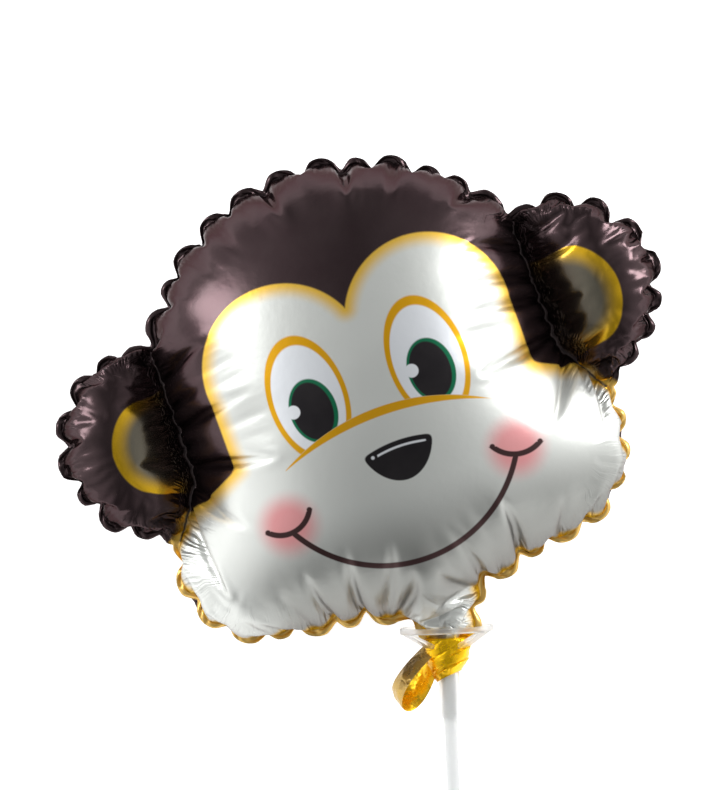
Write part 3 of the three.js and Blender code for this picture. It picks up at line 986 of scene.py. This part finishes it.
@dataclass(frozen=True)
class FoilPrint:
    """What is drawn on the film: the print of dark fur, a pale face with airbrushed yellow edges and
    gold below, and painted shade over it.

    Places and sizes are in millimetres of the head frame. A circle is its centre and its radius, and
    an ellipse its centre and its two half widths. A fade is where it starts and where it ends.
    metal, coat and roughness are their values on the fur and how much the pale face adds. The painted
    shade greys the face low down and darkens the fur near the weld, the ear seams and the inner ears
    towards the head; the inner ears' dark middles are a painted reflection.
    """

    brown: tuple = (0.052, 0.031, 0.035)
    # Painted shade: the darker brown that the fur takes near the weld.
    brown_painted_rim_shade: tuple = (0.040, 0.024, 0.027)
    pearl: tuple = (0.72, 0.74, 0.71)
    # Painted shade: the darker pearl that greys the face low down.
    pearl_painted_shade: tuple = (0.25, 0.255, 0.24)
    yellow: tuple = (0.84, 0.50, 0.01)
    # Painted reflection: the dark middle of the inner ears.
    inner_ear_painted_reflection: tuple = (0.16, 0.145, 0.11)
    ear_shadow: tuple = (0.050, 0.034, 0.028)
    gold: tuple = (0.80, 0.52, 0.14)
    line_gold: tuple = (0.76, 0.38, 0.0)
    green: tuple = (0.0, 0.16, 0.07)
    black: tuple = (0.012, 0.011, 0.014)
    smile: tuple = (0.040, 0.016, 0.017)
    blush: tuple = (0.78, 0.20, 0.22)
    eye_white: tuple = (0.85, 0.88, 0.92)
    seam_shade: tuple = (0.02, 0.014, 0.015)
    cloud_tint: tuple = (0.5, 0.45, 0.42)
    forehead: tuple = ((34, 55.5), 37.5)
    notch_tip: tuple = (0, 71.3)
    notch_normal: tuple = (0.421, 0.907)
    flank: float = 71.2
    cheek_corner: tuple = (70, 20)
    cheek_normal: tuple = (0.427, 0.904)
    cheek_round: float = 4
    glow_fade: tuple = (-8, -0.5)
    rim_glow_fades: tuple = ((9, 1.5), (8, 2))
    painted_shade_fades: tuple = ((-12, -50), (-78, -62), (-96, -66))
    blush_spots: tuple = ((-57, -12), (51, -13.6))
    blush_fade: tuple = (17.5, 6)
    brow_top: tuple = ((-2, -73.2), 97.5)
    brow_foot: tuple = ((-2, -114.8), 135)
    brow_half: float = 50
    eyes: tuple = (((-29.5, 38.6), (-29, 32.7), (-37.8, 35)), ((27, 37.4), (27.1, 32), (18.6, 34.5)))
    eye_layers: tuple = (
        (0, (0, 0), (17.9, 29.5), "line_gold"), (0, (0, -0.4), (15.5, 25.4), "eye_white"),
        (1, (0, 0), (10.7, 14.7), "green"), (1, (-0.4, 0), (9.1, 13.2), "black"))
    glint_radius: float = 3.1
    nose_sides: tuple = (((7, 10), 23), ((-5, 10), 23))
    nose_top: tuple = ((1, -50), 57.4)
    nose_rounds: tuple = (8, 4)
    shine_arc: tuple = ((1, -50), 54.6)
    shine_span: tuple = (2.5, 11.5)
    shine_foot: float = 2.8
    shine_end: tuple = ((-11.2, 3.6), 0.8)
    line_half: float = 1.25
    mouth: tuple = ((-3, 14.3), 61.3)
    mouth_top: float = -16
    dimples: tuple = (
        (((-57.8, -2.4), 13.3), (-67, -12), -0.167), (((54, -2.1), 15.2), (41, -10), 0.238))
    line_ends: tuple = ((-67, -12), (-46, -8.5), (41, -10), (62, -15))
    inner_ears: tuple = (((-96, 41.5), (25, 26)), ((95.5, 39.5), (24, 27)))
    ear_fade: tuple = (-9, -1)
    ear_shadow_fade: tuple = (110, 90)
    painted_shade_strength: float = 0.9
    glow_strength: float = 0.92
    blush_strength: float = 0.75
    shadow_strength: float = 0.85
    cloud_strength: float = 0.05
    rim_fade: tuple = (18, 3)
    gold_rim_fade: tuple = (6, 2)
    throat_fade: tuple = (-68, -76)
    seam_fade: tuple = (0.7, 1.0)
    metal: tuple = (0.92, -0.17)
    coat: tuple = (0.08, 0.02)
    roughness: tuple = (0.20, 0.12)
    ripple_pitch: float = 3.4
    ripple_height: float = 0.24
    ripple_reach: float = 22
    fold_reach: float = 40

    def dress(self, name: str) -> bpy.types.Material:
        """Make the film's material."""
        f = Finish(name, Coat_Roughness=0.12, IOR=1.5, Specular_Tint=(0.35, 0.30, 0.30, 1))
        front, ear, inset = f.attribute("front"), f.attribute("ear"), f.attribute("inset")
        head = 1 - ear
        art = Drawing(f.attribute("across_face"), f.attribute("up_face"), self.pearl)
        edge = self.face_edge(art)
        self.draw_ground(art, edge, inset)
        self.draw_eyes(art)
        self.draw_nose(art)
        self.draw_mouth(art)
        face = edge.inside(0.6) * front * head
        # Painted shade: the fur darkens towards the weld.
        fur = inset.step(*self.rim_fade).colour(self.brown, self.brown_painted_rim_shade)
        art.colour = face.colour(fur, art.colour)
        self.draw_ears(art, ear * front)
        art.paint(inset.inside(0.6) * art.v.step(*self.gold_rim_fade) * head, self.gold)
        art.paint(art.v.step(*self.throat_fade) * (1 - front), self.gold)
        # Painted shade along the ear seams, in the crease between head and ear.
        art.paint(f.attribute("seam").step(*self.seam_fade), self.seam_shade)
        place = f.object_place()
        cloud = f.noise(place, 60, 3)
        art.paint(cloud * self.cloud_strength, self.cloud_tint)
        f.feed("Base Color", art.colour)
        parts = (self.metal, self.coat, self.roughness)
        metal, coat, rough = (face * added + plain for plain, added in parts)
        f.feed("Metallic", metal)
        f.feed("Coat Weight", coat)
        f.feed("Roughness", cloud * 0.08 + rough)
        ripples = self.ripples(f, inset, front * 9 + ear * 5) * (1 - ear * inset.step(9, 15))
        f.bump(ripples + f.noise(place, 300) * 0.06, 0.9)
        return f.material

    def face_edge(self, art: Drawing) -> Socket:
        """How far outside the pale face a place is: two lobes above a notch, flanks, and cheeks."""
        side = art.u.size()
        (middle, height), radius = self.forehead
        across, above = side - middle, art.v - height
        lobe = (across * across + above * above).math("SQRT") - radius
        below = (across * self.notch_normal[0] + above * self.notch_normal[1]).math("LESS_THAN", 0)
        notch = below * side.math("LESS_THAN", middle)
        lobe = lobe * (1 - notch) - art.ring(self.notch_tip, 0) * notch
        upper = (side - self.flank).most(above)
        out, up = side - self.cheek_corner[0], art.v - self.cheek_corner[1]
        lower = out * self.cheek_normal[0] + up * self.cheek_normal[1]
        return lobe.least(upper).soft_least(lower, self.cheek_round)

    def draw_ground(self, art: Drawing, edge: Socket, inset: Socket) -> None:
        """The pearl ground with painted shade low down, its airbrushed yellow edge and the blushes."""
        # Painted shade: the pale face is greyed low down, towards the chin.
        low, foot, left = self.painted_shade_fades
        grey = art.v.step(*low) * art.v.step(*foot) * art.u.step(*left) * self.painted_shade_strength
        art.paint(grey, self.pearl_painted_shade)
        at_rim, below = self.rim_glow_fades
        glow = edge.step(*self.glow_fade) * self.glow_strength
        art.paint(glow.most(inset.step(*at_rim) * art.v.step(*below)), self.yellow)
        left, right = (art.ring(spot, 0) for spot in self.blush_spots)
        art.paint(left.least(right).step(*self.blush_fade) * self.blush_strength, self.blush)

    def draw_eyes(self, art: Drawing) -> None:
        """The two eyes, which end at the brow line, and the line itself."""
        above = (-art.ring(*self.brow_top)).inside()
        for middle, iris, glint in self.eyes:
            for part, shift, half, colour in self.eye_layers:
                centre = [a + b for a, b in zip((middle, iris)[part], shift)]
                art.paint(art.spot(centre, half).inside() * above, getattr(self, colour))
            art.paint(art.ring(glint, self.glint_radius).inside(), self.eye_white)
        brow = art.ring(*self.brow_top).inside() * (-art.ring(*self.brow_foot)).inside()
        art.paint(brow * (art.u.size() - self.brow_half).inside(), self.line_gold)

    def draw_nose(self, art: Drawing) -> None:
        """The nose, with its line of light."""
        one, two = (art.ring(*side) for side in self.nose_sides)
        sides_round, top_round = self.nose_rounds
        nose = art.ring(*self.nose_top).soft_most(one.soft_most(two, sides_round), top_round)
        art.paint(nose.inside(), self.black)
        middle, half = self.shine_span
        shine = art.ring(*self.shine_arc).near(0.5) * (art.u - middle).near(half)
        shine = shine * (-(art.v - self.shine_foot)).inside()
        art.paint(shine.most(art.ring(*self.shine_end).inside()), self.eye_white)

    def draw_mouth(self, art: Drawing) -> None:
        """The smile and the dimple at each of its ends, as lines with round ends."""
        lines = art.ring(*self.mouth).near(self.line_half) * (art.v - self.mouth_top).inside()
        for circle, (x, y), slope in self.dimples:
            low = (art.v - y) + (art.u - x) * slope
            lines = lines.most(art.ring(*circle).near(self.line_half) * low.inside())
        for end in self.line_ends:
            lines = lines.most(art.ring(end, self.line_half).inside())
        art.paint(lines, self.smile)

    def draw_ears(self, art: Drawing, ears: Socket) -> None:
        """The inner ears: printed yellow edges round a painted dark reflection, with painted shadow
        towards the head.
        """
        for centre, half in self.inner_ears:
            inner = art.spot(centre, half)
            # The yellow edge is print; the middle is a painted dark reflection, and the side towards the
            # head painted shadow.
            shade = inner.step(*self.ear_fade).colour(self.inner_ear_painted_reflection, self.yellow)
            shadow = art.u.size().step(*self.ear_shadow_fade) * self.shadow_strength
            art.paint(inner.inside(0.5) * ears, shadow.colour(shade, self.ear_shadow))

    def ripples(self, f: Finish, inset: Socket, side: Socket) -> Socket:
        """The height in millimetres of the fine folds that run in from the rim."""
        along = f.attribute("along")
        reach = f.noise(f.vector(along / 19, 0.0, side), 1, 1)
        bend = f.noise(f.vector(along / 11, inset / 60, side), 1, 1)
        wave = ((along + bend * 9) * (math.tau / self.ripple_pitch)).math("SINE")
        grain = f.noise(f.vector(along / 5, inset / 45, side), 1, 2)
        lines = (1 - (grain - 0.5).size() / 0.08).most(0)
        clear = inset.step(1, 4)
        short = clear * (inset - reach * self.ripple_reach).step(9, -3)
        long = clear * (inset - reach * self.fold_reach).step(16, -8)
        return wave * short * self.ripple_height + (grain * 0.8 - lines * 0.16) * long


@dataclass(frozen=True)
class GoldFoil:
    """Crumpled gold film of the tail. inner is the colour of a loop's inner side."""

    bright: tuple = (1.0, 0.58, 0.0)
    dark: tuple = (0.60, 0.31, 0.0)
    inner: tuple = (1.0, 0.62, 0.02)

    def dress(self, name: str) -> bpy.types.Material:
        """Make the tail's material."""
        f = Finish(name, Metallic=0.75, Coat_Weight=0.1, Coat_Roughness=0.1)
        place = f.object_place()
        patch = f.noise(place, 40).step(0.42, 0.72)
        outer = patch.colour(self.bright, self.dark)
        f.feed("Base Color", f.attribute("inner").colour(outer, self.inner))
        f.feed("Roughness", f.noise(place, 300) * 0.2 + 0.18)
        folds = f.noise(place, 110)
        ridges = (1 - (folds - 0.5).size() / 0.06).most(0)
        f.bump(folds * 1.2 - ridges * 0.2, 0.7)
        return f.material


@dataclass(frozen=True)
class MilkyPlastic:
    """Translucent white plastic, moulded or drawn. haze is the colour of its cloudy patches."""

    colour: tuple = (0.985, 0.99, 0.99)
    roughness: float = 0.25
    transmission: float = 0.9
    haze: tuple = (0.93, 0.94, 0.94)
    streak_scale: tuple = (900.0, 30.0, 900.0)
    streak_depth: float = 0.1 * MM

    def dress(self, name: str) -> bpy.types.Material:
        """Make the plastic's material."""
        f = Finish(name, Transmission_Weight=self.transmission, IOR=1.35)
        place = f.object_place()
        cloud = f.noise(place, 90)
        f.feed("Base Color", (cloud * 0.25).colour(self.colour, self.haze))
        f.feed("Roughness", cloud * 0.15 + self.roughness)
        sockets = {"Vector": place, "Scale": self.streak_scale}
        streaks = f.noise(f.start.node("ShaderNodeMapping", {}, sockets), 1)
        f.bump(streaks, 0.25, self.streak_depth)
        return f.material


@dataclass
class FoilBalloon:
    """The printed envelope as one closed mesh, with the flat spot on which it rests."""

    place: Place
    envelope: Envelope = field(default_factory=Envelope)
    half_film: float = 0.15
    print_terms: int = 3
    print_clear: float = 12
    print_fade: tuple[float, float] = (8, 24)
    view_aim: tuple[float, float] = (-6.96, 32.2)
    view_distance: float = 2200

    def build(self) -> bpy.types.Object:
        """Blow the film up and make the piece."""
        film = self.envelope.blown_up()
        points, faces, source = self.closed(film)
        lying = placed(points * MM, self.place.head())
        lying[:, 2] = np.maximum(lying[:, 2], 0)
        piece = new_mesh("foil_envelope", lying, faces)
        printed = self.settled_print(film)
        front = np.zeros(len(points))
        front[:self.front_count] = 1
        columns = {
            "across_face": printed[source, 0],
            "up_face": printed[source, 1],
            "inset": film.inset[source],
            "along": film.along[source],
            "seam": film.held[source, 1],
            "ear": film.ear[source],
            "front": front,
        }
        for name, values in columns.items():
            store(piece, name, values)
        return piece

    def closed(self, film: Film) -> tuple[Array, Array, Array]:
        """Part the film into a front and a back layer, joined round the outer edge.

        Args:
            film: The blown-up film.

        Returns:
            The points, the faces, and which of the film's points each one comes from.
        """
        def layer(triangles: Array) -> Array:
            """The film's points, moved out by half the film's thickness."""
            total = normal_sums(film.points, triangles)[0]
            outward = total / np.maximum(np.linalg.norm(total, axis=1), TINY)[:, None]
            return film.points + self.half_film * outward

        count = len(film.points)
        rim = film.triangles[film.sheet == 2]
        front = np.concatenate([film.triangles[film.sheet == 0], rim])
        back = np.concatenate([film.triangles[film.sheet == 1], rim[:, ::-1]])
        points = np.concatenate([layer(front), layer(back)])
        sides = np.concatenate([front[:, [0, 1]], front[:, [1, 2]], front[:, [2, 0]]])
        keys = sides[:, 0] * count + sides[:, 1]
        turned = sides[:, 1] * count + sides[:, 0]
        edge = sides[~np.isin(turned, keys)]
        band = np.concatenate([
            np.column_stack([edge[:, 1], edge[:, 0], edge[:, 0] + count]),
            np.column_stack([edge[:, 1], edge[:, 0] + count, edge[:, 1] + count])])
        faces = np.concatenate([front, back + count, band])
        used = np.unique(faces)
        place = np.full(2 * count, -1)
        place[used] = np.arange(len(used))
        order = np.concatenate([used[used < count], used[used >= count]])
        self.front_count = int((used < count).sum())
        return points[order], place[faces], order % count

    def settled_print(self, film: Film) -> Array:
        """Where the print lies: it follows the film near the weld, and sits as seen further in."""
        def terms(places: Array) -> Array:
            """Powers of the two plan coordinates."""
            x, y = places[:, 0] / 100, places[:, 1] / 100
            top = self.print_terms + 1
            return np.column_stack([x ** i * y ** j for i in range(top) for j in range(top - i)])

        head = film.ear < 0.5
        upper = (film.points[:, 2] > 0) & head
        inside = (film.inset > self.print_clear) & upper
        drift = film.points[inside, :2] - film.printed[inside]
        fit = np.linalg.lstsq(terms(film.printed[inside]), drift, rcond=None)[0]
        log.info("print drift up to %.1f mm", np.abs(drift).max())
        settled = film.printed + (terms(film.printed) @ fit) * head[:, None]
        aim = np.array(self.view_aim)
        bulge = self.view_distance / (self.view_distance - film.points[:, 2:])
        seen = aim + (film.points[:, :2] - aim) * bulge
        share = smoothstep(film.inset, *self.print_fade) * upper
        return settled + (seen - settled) * share[:, None]


@dataclass
class Tail:
    """The end of the neck: wound round the throat of the cup, and left in a loop. Stick frame.

    radii are shares of the winding's height, from its foot, with the radius there in millimetres.
    """

    place: Place
    winding_top: float = -5 * MM
    winding_foot: float = -25 * MM
    radii: tuple = (
        (0.0, 5.6), (0.06, 6.3), (0.25, 7.9), (0.5, 9.6), (0.8, 10.4), (0.95, 10.3), (1.0, 9.6))
    lap_pitch: float = 6.5
    lap_slope: float = 0.45
    crease_count: int = 26
    foot_tilt: float = 5
    crease_depths: tuple[float, float] = (0.15, 0.45)
    crease_half_widths: tuple[float, float] = (0.35, 0.8)
    lap_depth: float = 0.55
    lap_sway: float = 1.2
    flattening: float = 0.18
    around: int = 300
    up: int = 150
    loop_length: float = 29 * MM
    loop_gap: float = 8.8 * MM
    loop_width: float = 12 * MM
    loop_root: tuple = (-6 * MM, -9 * MM, 0)
    loop_lean: float = math.radians(35)
    loop_turn: float = math.radians(-38)
    loop_steps: int = 150
    loop_around: int = 56
    loop_gap_end: float = 0.02
    loop_edge: float = 0.35
    loop_belly: float = 0.45
    crumple_count: int = 8
    crumple_depth: float = 0.05 * MM
    seed: int = 4

    def winding(self) -> bpy.types.Object:
        """The wound film: slanting laps over each other, creased where they were pulled tight."""
        turn = np.linspace(0, 2 * np.pi, self.around, endpoint=False)[None, :]
        up = np.linspace(0, 1, self.up)[:, None]
        shares, radii = zip(*self.radii)
        radius = np.interp(up, shares, radii) + 0 * turn
        height = (self.winding_foot + (self.winding_top - self.winding_foot) * up) / MM
        sway = self.lap_sway * np.sin(turn + 0.6)
        slanted = height - self.lap_slope * radius * np.cos(turn) + sway
        lap = (slanted / self.lap_pitch) % 1
        radius += self.lap_depth * (lap ** 2 - 0.3) * smoothstep(up, 0, 0.1) * smoothstep(up, 1, 0.9)
        rng = np.random.default_rng(self.seed)
        for _ in range(self.crease_count):
            slope = self.lap_slope + rng.normal(0, 0.25)
            line = height - slope * radius * np.cos(turn - rng.normal(0, 0.5)) - rng.uniform(-26, 0)
            middle, span = rng.uniform(0, 2 * np.pi), rng.uniform(0.5, 1.3)
            window = smoothstep(np.cos(turn - middle), math.cos(span), 1)
            depth = rng.uniform(*self.crease_depths)
            radius -= depth * np.exp(-(line / rng.uniform(*self.crease_half_widths)) ** 2) * window
        tilt = self.foot_tilt * (np.cos(turn - 0.3) + 1) / 2 * (1 - up) ** 2
        flat = 1 - self.flattening * np.sin(turn) ** 2 * smoothstep(up, 0.3, 0.9)
        points = np.stack([radius * np.cos(turn), height + tilt, radius * flat * np.sin(turn)], 2) * MM
        return swept("foil_winding", points, self.place.stick(), capped=True)

    def loop(self) -> bpy.types.Object:
        """The loop of flattened film that hangs from the winding."""
        down = np.array([-math.sin(self.loop_lean), -math.cos(self.loop_lean), 0])
        side = np.array([-math.cos(self.loop_lean), math.sin(self.loop_lean), 0])
        broad = side * math.cos(self.loop_turn)
        broad[2] = math.sin(self.loop_turn)
        opening = np.cross(broad, down)
        steps, around = self.loop_steps, self.loop_around
        turn = np.linspace(self.loop_gap_end, 2 * np.pi - self.loop_gap_end, steps)
        reach = self.loop_length * (1 - np.cos(turn)) / 2
        gap = self.loop_gap * np.sin(turn) * (0.35 + 0.65 * reach / self.loop_length)
        middle = np.array(self.loop_root) + reach[:, None] * down + gap[:, None] * opening
        along = np.gradient(middle, axis=0)
        along /= np.linalg.norm(along, axis=1)[:, None]
        twist = 0.35 * np.sin(turn / 2 + 0.4)
        across = broad * np.cos(twist)[:, None] + np.cross(along, broad) * np.sin(twist)[:, None]
        thick = np.cross(across, along)
        width = self.loop_width / 2 * (0.66 + 0.34 * np.sin(turn / 2) ** 0.7)
        ring = np.linspace(0, 2 * np.pi, around, endpoint=False)
        rng = np.random.default_rng(self.seed + 1)
        x = np.cos(ring)[None, :]
        lens = np.sign(np.sin(ring)) * np.abs(np.sin(ring)) ** 0.9
        half = (self.loop_edge + self.loop_belly * (1 - x ** 2)) * MM * lens[None, :]
        crumple = np.zeros((steps, around))
        for _ in range(self.crumple_count):
            phase = turn[:, None] * rng.uniform(1.5, 6) + x * rng.uniform(-3, 3) + rng.uniform(0, 6)
            crumple += self.crumple_depth * (1 - 2 * np.abs(np.sin(phase)))
        half = half + crumple * (1 - x ** 2) ** 0.5
        points = (middle[:, None, :] + across[:, None, :] * (x * width[:, None])[..., None]
                  + thick[:, None, :] * half[..., None])
        piece = swept("foil_loop", points, self.place.stick(), capped=True)
        store(piece, "inner", np.tile(lens < 0, steps))
        return piece


def lathed(name: str, profile: list, steps: int, place: Matrix) -> bpy.types.Object:
    """A turned piece about the Y axis of a frame, from pairs of radius and height."""
    turn = np.linspace(0, 2 * np.pi, steps, endpoint=False)
    radius, height = np.array(profile).T[..., None]
    rings = np.stack([radius * np.cos(turn), height + 0 * turn, radius * np.sin(turn)], 2)
    return swept(name, rings, place, capped=False)


def modified(piece: bpy.types.Object, kind: str, **settings: Any) -> None:
    """Add a modifier to a piece and make its result the piece's mesh."""
    modifier = piece.modifiers.new("modifier", kind)
    for name, value in settings.items():
        setattr(modifier, name, value)
    bpy.context.view_layer.update()
    result = piece.evaluated_get(bpy.context.evaluated_depsgraph_get())
    made = bpy.data.meshes.new_from_object(result)
    piece.modifiers.clear()
    piece.data = made


@dataclass
class Cup:
    """The moulded cup: a ring, three arms that meet in the socket, and the socket's lip. Stick frame."""

    place: Place
    ring_radius: float = 21 * MM
    ring_height: float = 2.6 * MM
    wall: float = 1.2 * MM
    arm_count: int = 3
    arm_width: float = 8 * MM
    arm_turn: float = math.radians(-35)
    socket_inner: float = 3.3 * MM
    socket_outer: float = 4.8 * MM
    lip_height: float = 2 * MM
    lip: float = 0.4 * MM
    edge_round: float = 0.25 * MM
    steps: int = 96
    window_steps: int = 20

    def build(self) -> bpy.types.Object:
        """Turn the cup and cut the windows between its arms."""
        cone = self.place.cone_height
        foot = -cone - self.place.socket_length
        inner, outer = self.socket_inner, self.socket_outer
        slope = self.wall * math.sqrt(2)
        ring_inner = self.ring_radius - self.wall
        piece = lathed("moulded_cup", [
            (inner, foot), (outer + self.lip, foot), (outer + self.lip, foot + self.lip_height),
            (outer, foot + self.lip_height), (outer, -cone), (self.ring_radius, -self.ring_height),
            (self.ring_radius, 0), (ring_inner, 0),
            (ring_inner, -self.ring_height + self.wall / 2), (inner, -cone + slope),
        ], self.steps, self.place.stick())
        for number in range(self.arm_count):
            tool = self.window(number)
            modified(piece, "BOOLEAN", operation="DIFFERENCE", solver="EXACT", object=tool)
            bpy.data.objects.remove(tool)
        modified(piece, "BEVEL", width=self.edge_round, segments=2, limit_method="ANGLE",
                 angle_limit=math.radians(40), harden_normals=True)
        return piece

    def window(self, number: int) -> bpy.types.Object:
        """The space between two arms, as a tool that cuts it out."""
        reach = self.ring_radius * 1.3
        near = self.socket_outer + self.wall
        sector = 2 * math.pi / self.arm_count
        start = -self.arm_turn + sector * number
        sides = []
        for radius in (near, reach):
            edge = math.asin(min(0.95, self.arm_width / 2 / radius))
            turns = np.linspace(start + edge, start + sector - edge, self.window_steps)
            sides.append([(radius * math.cos(turn), radius * math.sin(turn)) for turn in turns])
        plan = sides[0] + sides[1][::-1]
        levels = (-self.place.cone_height + self.wall, -self.ring_height)
        rings = np.array([[(x, y, z) for x, z in plan] for y in levels])
        return swept("window", rings, self.place.stick(), capped=True, smooth=False)


@dataclass
class Stick:
    """The thin tube, its top pushed up into the socket. Stick frame."""

    place: Place
    radius: float = 3 * MM
    wall: float = 0.9 * MM
    edge: float = 0.15 * MM
    levels: int = 40
    steps: int = 64

    def build(self) -> bpy.types.Object:
        """Turn the tube with softly broken ends."""
        top = -self.place.cone_height - self.place.socket_length + self.place.stick_grip
        foot = top - self.place.stick_length
        inner, outer, edge = self.radius - self.wall, self.radius, self.edge
        levels = np.linspace(foot + edge, top - edge, self.levels)
        profile = [(inner + edge, foot), (outer - edge, foot)]
        profile += [(outer, level) for level in levels]
        profile += [(outer - edge, top), (inner + edge, top)]
        profile += [(inner, level) for level in levels[::-1]]
        return lathed("drawn_stick", profile, self.steps, self.place.stick())


@dataclass
class Studio:
    """A pale floor, soft boxes and the camera above the face. It isn't part of the object."""

    place: Place
    field_height: float = 355.5 * MM
    distance: float = 2.2
    aim: tuple = (-6.96 * MM, 32.2 * MM, 0)
    roll: float = math.radians(2.5)
    sensor_height: float = 24
    clip_end: float = 20
    boxes: tuple = (
        ("left box", (-1.12, 0.60, 0.66), (0.42, 0.62), 7.4),
        ("right box", (1.0, 0.70, 0.47), (0.42, 0.52), 10))
    box_aim: tuple = (0, 0.13, 0.05)
    floor_half: float = 6
    floor_pale: tuple = (0.93, 0.93, 0.93)
    floor_cloud: tuple = (0.90, 0.90, 0.90)
    sky_dark: tuple = (0.165, 0.17, 0.17)
    sky_bright: tuple = (1.1, 1.1, 1.1)

    def camera(self) -> None:
        """Look along the face's normal, with the stick leaning a little to the left."""
        data = bpy.data.cameras.new("camera")
        data.sensor_fit = "VERTICAL"
        data.sensor_height = self.sensor_height
        data.lens = self.sensor_height * self.distance / self.field_height
        data.clip_end = self.clip_end
        camera = bpy.data.objects.new("camera", data)
        bpy.context.scene.collection.objects.link(camera)
        stick = self.place.stick()
        turn = stick.to_3x3() @ Matrix.Rotation(-self.roll, 3, "Z")
        out = stick.to_3x3() @ Vector((0, 0, 1))
        spot = self.place.head() @ Vector(self.aim)
        camera.matrix_world = Matrix.Translation(spot + out * self.distance) @ turn.to_4x4()
        bpy.context.scene.camera = camera

    def light(self, name: str, spot: tuple, size: tuple, watts: float) -> None:
        """A soft box.

        Args:
            name: Its name.
            spot: Where it hangs.
            size: Its width and height.
            watts: Its power.
        """
        data = bpy.data.lights.new(name, "AREA")
        data.shape = "RECTANGLE"
        data.size, data.size_y = size
        data.energy = watts
        box = bpy.data.objects.new(name, data)
        bpy.context.scene.collection.objects.link(box)
        box.location = spot
        aim = Vector(self.box_aim) - Vector(spot)
        box.rotation_euler = aim.to_track_quat("-Z", "Y").to_euler()

    def floor(self) -> None:
        """The pale floor on which the balloon lies."""
        corners = np.array([(-1, -1, 0), (1, -1, 0), (1, 1, 0), (-1, 1, 0)]) * self.floor_half
        floor = new_mesh("floor", corners, [[0, 1, 2, 3]], False)
        finish = Finish("pale floor", Roughness=0.9, Emission_Color=(1, 1, 1, 1), Emission_Strength=0.8)
        cloud = finish.noise(finish.object_place(), 3) * 0.02
        finish.feed("Base Color", cloud.colour(self.floor_pale, self.floor_cloud))
        floor.data.materials.append(finish.material)

    def sky(self) -> None:
        """A sky that is dark above the face and bright to both sides."""
        world = bpy.data.worlds.new("studio")
        bpy.context.scene.world = world
        world.use_nodes = True
        tree = world.node_tree
        up = Socket(tree, None).node("ShaderNodeTexCoord", out="Generated")
        across, beyond = (up.node("ShaderNodeSeparateXYZ", {}, {"Vector": up}, axis) for axis in "XY")
        sides = (across * -0.85).most(across * 0.68)
        sky = (sides + beyond * 0.08).step(-0.1, 0.9).colour(self.sky_dark, self.sky_bright)
        background = tree.nodes["Background"]
        tree.links.new(sky.link, background.inputs["Color"])
        background.inputs["Strength"].default_value = 1.0

    def build(self) -> None:
        """Make the camera, the floor, the lights and the sky."""
        self.camera()
        self.floor()
        for box in self.boxes:
            self.light(*box)
        self.sky()
        bpy.context.scene.view_settings.view_transform = "Standard"


def settle(piece: bpy.types.Object, node: str | None, material: bpy.types.Material) -> None:
    """Let a piece ride, hide the part node that it stands for, and give it its finish."""
    piece.data.materials.clear()
    piece.data.materials.append(material)
    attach(piece, "root")
    if node:
        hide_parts(node)
    log.info("%s: %d faces", piece.name, len(piece.data.polygons))


def main() -> None:
    """Build the studio and the three real pieces."""
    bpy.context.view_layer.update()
    place = Place()
    Studio(place).build()
    tail = Tail(place)
    gold = GoldFoil().dress("gold film")
    settle(FoilBalloon(place).build(), "foil_balloon", FoilPrint().dress("printed film"))
    settle(tail.winding(), "foil_balloon", gold)
    # Painted shade: the loop's outer side is a darker copy of the gold film; its inner side keeps the
    # bright gold.
    painted_shade_gold = GoldFoil((0.55, 0.36, 0.09), (0.30, 0.19, 0.07)).dress("dull gold film")
    settle(tail.loop(), "foil_balloon", painted_shade_gold)
    settle(Cup(place).build(), "balloon_cup", MilkyPlastic().dress("cup plastic"))
    milky = MilkyPlastic((0.93, 0.94, 0.94), 0.32, 0.72).dress("stick plastic")
    settle(Stick(place).build(), "stick", milky)


if __name__ == "__main__":
    logging.basicConfig(level=logging.INFO, format="%(name)s: %(message)s")
    main()
